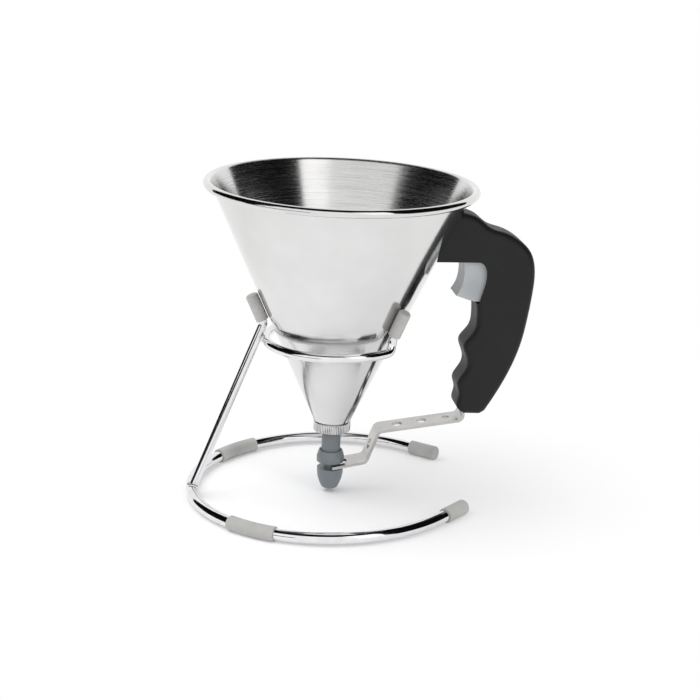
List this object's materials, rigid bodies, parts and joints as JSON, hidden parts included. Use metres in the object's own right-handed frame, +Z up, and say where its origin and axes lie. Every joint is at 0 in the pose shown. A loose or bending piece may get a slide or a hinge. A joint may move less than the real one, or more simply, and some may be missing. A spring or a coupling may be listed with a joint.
{
  "type": "piston funnel on a wire stand",
  "caption": "Hand-held steel dispensing funnel for batter, with a trigger handle, a lever-lifted hollow piston nozzle and a bent wire stand.",
  "frame": {"origin": "centre of the stand's base ring, on the surface it stands on", "axes": "+Z up; +X from the funnel towards its handle and the open side of the stand; +Y to the left of someone who looks along +X"},
  "size_m": [0.1947, 0.163, 0.1812],
  "materials": {
    "stand_wire": "polished wire",
    "stand_rubber": "matt",
    "cone_steel": "polished outside, brushed inside",
    "machined_steel": "turned",
    "strip_steel": "satin",
    "nozzle_plastic": "satin",
    "seal_rubber": "matt",
    "handle_plastic": "fine grain",
    "trigger_plastic": "satin"
  },
  "bodies": {
    "stand": {"base_ring": "stand_wire", "foot_sleeve_back": "stand_rubber", "foot_sleeve_front": "stand_rubber", "base_end_cap_back": "stand_rubber", "base_end_cap_front": "stand_rubber", "stand_upright": "stand_wire", "collar_ring": "stand_wire", "prong_cap_left": "stand_rubber", "prong_cap_back": "stand_rubber", "prong_cap_front": "stand_rubber"},
    "funnel": {"funnel_cone": "cone_steel", "outlet_spigot": "machined_steel", "guide_bush": "nozzle_plastic", "knurled_nut": "machined_steel", "lever_pin": "machined_steel", "trigger_pin": "machined_steel", "handle_bracket": "strip_steel", "handle_front_shell": "handle_plastic", "handle_back_shell": "handle_plastic", "handle_screws": "machined_steel"},
    "trigger": {"trigger": "trigger_plastic", "trigger_spring": "strip_steel"},
    "lever": {"lever_strip": "strip_steel", "lever_hub": "strip_steel"},
    "piston": {"piston_tube": "nozzle_plastic", "piston_seal": "seal_rubber", "nozzle_tip": "nozzle_plastic"}
  },
  "joints": [
    {"name": "funnel_lift", "type": "slide", "parent": "stand", "child": "funnel", "axis": [0.0323, 0, 0.9995], "range_m": [0, 0.2]},
    {"name": "trigger_squeeze", "type": "hinge", "parent": "funnel", "child": "trigger", "pos_m": [0.08448, 0, 0.13734], "axis": [0, -1, 0], "range_deg": [0, 17], "stiffness_Nm_per_rad": 0.2, "springref_deg": -17.19},
    {"name": "lever_tilt", "type": "hinge", "parent": "funnel", "child": "lever", "pos_m": [0.08009, 0, 0.05279], "axis": [0, 1, 0], "range_deg": [0, 7]},
    {"name": "piston_lift", "type": "slide", "parent": "funnel", "child": "piston", "axis": [0.0323, 0, 0.9995], "range_m": [0, 0.0092]}
  ],
  "couplings": [
    {"joint": "lever_tilt", "follows": "trigger_squeeze", "ratio": 0.4},
    {"joint": "piston_lift", "follows": "trigger_squeeze", "m_per_rad": 0.0303}
  ]
}
